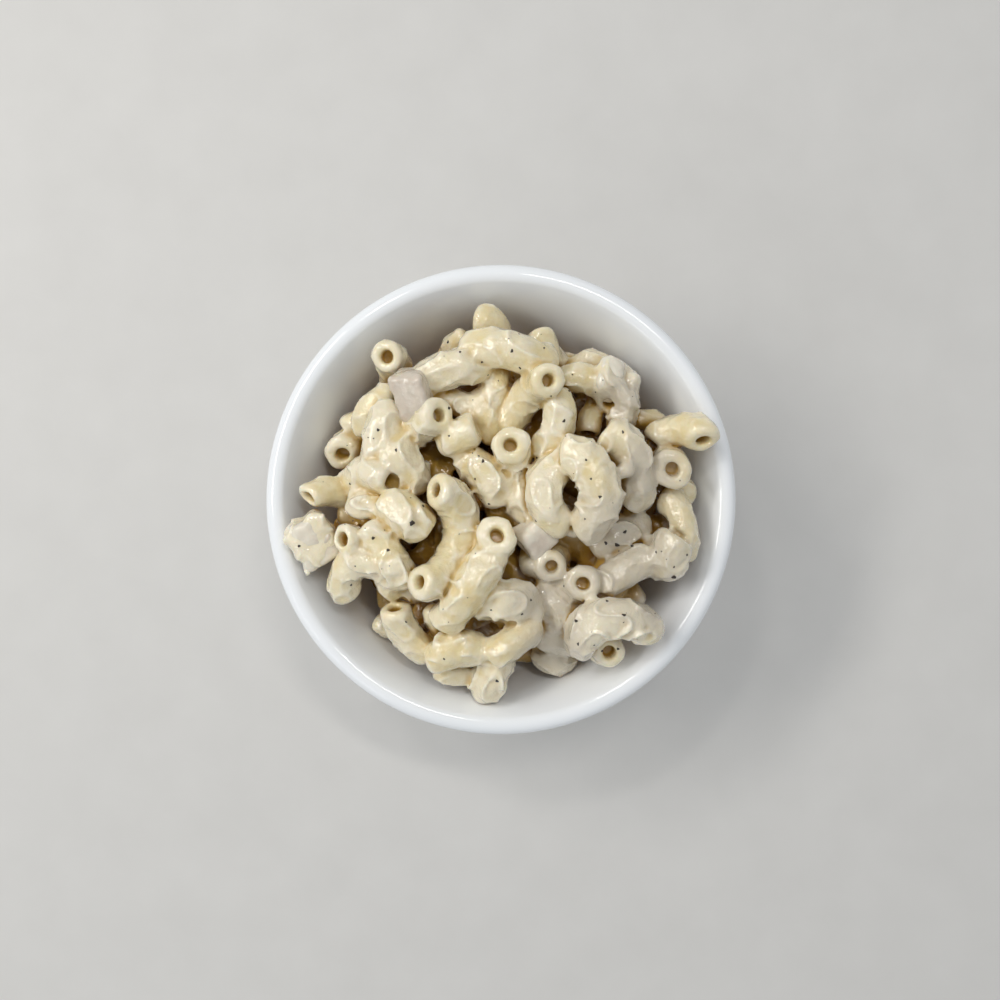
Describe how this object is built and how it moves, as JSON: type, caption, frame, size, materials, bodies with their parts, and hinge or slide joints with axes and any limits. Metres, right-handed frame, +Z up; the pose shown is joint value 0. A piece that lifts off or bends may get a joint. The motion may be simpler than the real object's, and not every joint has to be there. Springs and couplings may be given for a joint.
{
  "type": "bowl of macaroni",
  "caption": "Small round white bowl heaped with creamy elbow macaroni, diced meat and pepper, served and set down on its foot ring.",
  "frame": {"origin": "on the bowl's axis at the bottom of its foot ring", "axes": "+Z up along the bowl's axis; +Y towards the top of the picture, +X towards its right"},
  "size_m": [0.11, 0.11, 0.0693],
  "materials": {
    "white_glaze": "smooth glossy white glaze",
    "sauced_pasta": "pale cooked pasta in a glossy off-white sauce",
    "diced_meat": "pale pinkish grey cooked meat, lightly sauced"
  },
  "bodies": {
    "root": {"bowl": "white_glaze", "macaroni": "sauced_pasta", "diced_meat_upper_left": "diced_meat", "diced_meat_left": "diced_meat", "diced_meat_right": "diced_meat", "diced_meat_middle": "diced_meat"}
  },
  "joints": []
}
